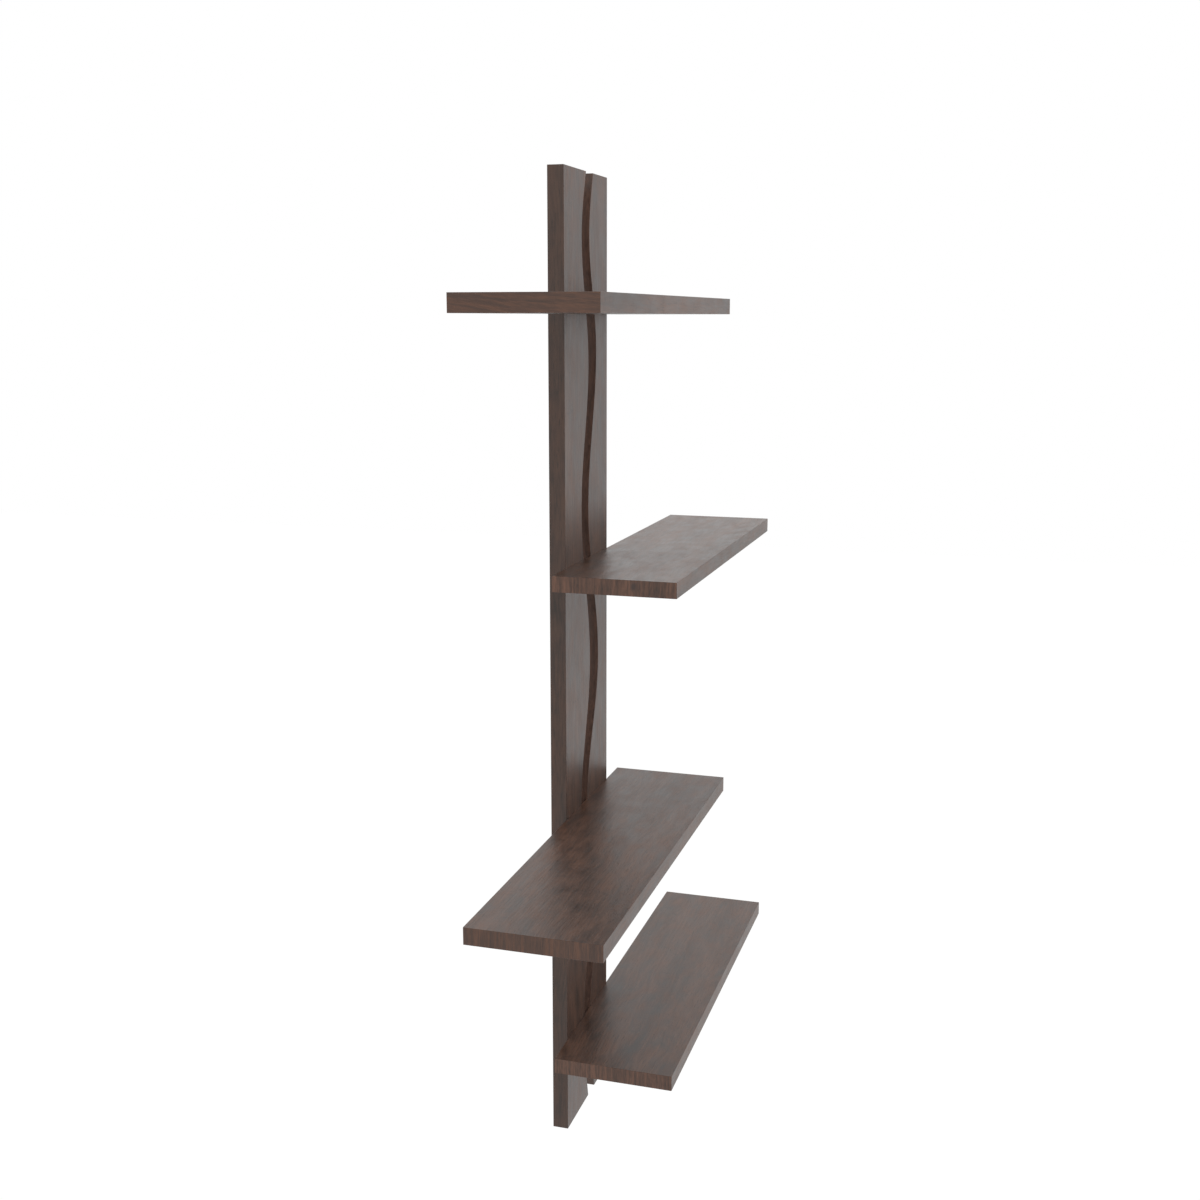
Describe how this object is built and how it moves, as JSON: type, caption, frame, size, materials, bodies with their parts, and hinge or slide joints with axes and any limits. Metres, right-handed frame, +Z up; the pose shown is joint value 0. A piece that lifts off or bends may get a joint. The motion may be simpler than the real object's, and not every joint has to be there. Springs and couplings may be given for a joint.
{
  "type": "wall shelf",
  "caption": "Wall shelf with boards that stand out left and right in turn from flat upright planks parted by an open wavy slot, hung on keyhole plates.",
  "frame": {"origin": "on the wall plane, midway between the round entries of the two upper keyholes", "axes": "+X to the right along the wall seen from the front, +Y into the wall, -Y out to the front, +Z up"},
  "size_m": [1.1429, 0.2267, 1.603],
  "materials": {
    "walnut": "dark walnut with satin lacquer",
    "beech": "bare beech",
    "black_steel": "black oxide on steel",
    "zinc_steel": "bright zinc on steel"
  },
  "bodies": {
    "root": {"left_plank": "walnut", "right_plank": "walnut", "shelf_1": "walnut", "shelf_2": "walnut", "shelf_3": "walnut", "shelf_4": "walnut", "bolts_1": "black_steel", "bolts_2": "black_steel", "bolts_3": "black_steel", "bolts_4": "black_steel", "barrel_nuts_1": "zinc_steel", "barrel_nuts_2": "zinc_steel", "barrel_nuts_3": "zinc_steel", "barrel_nuts_4": "zinc_steel", "dowels_1": "beech", "dowels_2": "beech", "dowels_3": "beech", "dowels_4": "beech", "hanger_upper_left": "zinc_steel", "hanger_upper_right": "zinc_steel", "hanger_lower_left": "zinc_steel", "hanger_lower_right": "zinc_steel", "hanger_screws_upper_left": "zinc_steel", "hanger_screws_upper_right": "zinc_steel", "hanger_screws_lower_left": "zinc_steel", "hanger_screws_lower_right": "zinc_steel"}
  },
  "joints": []
}
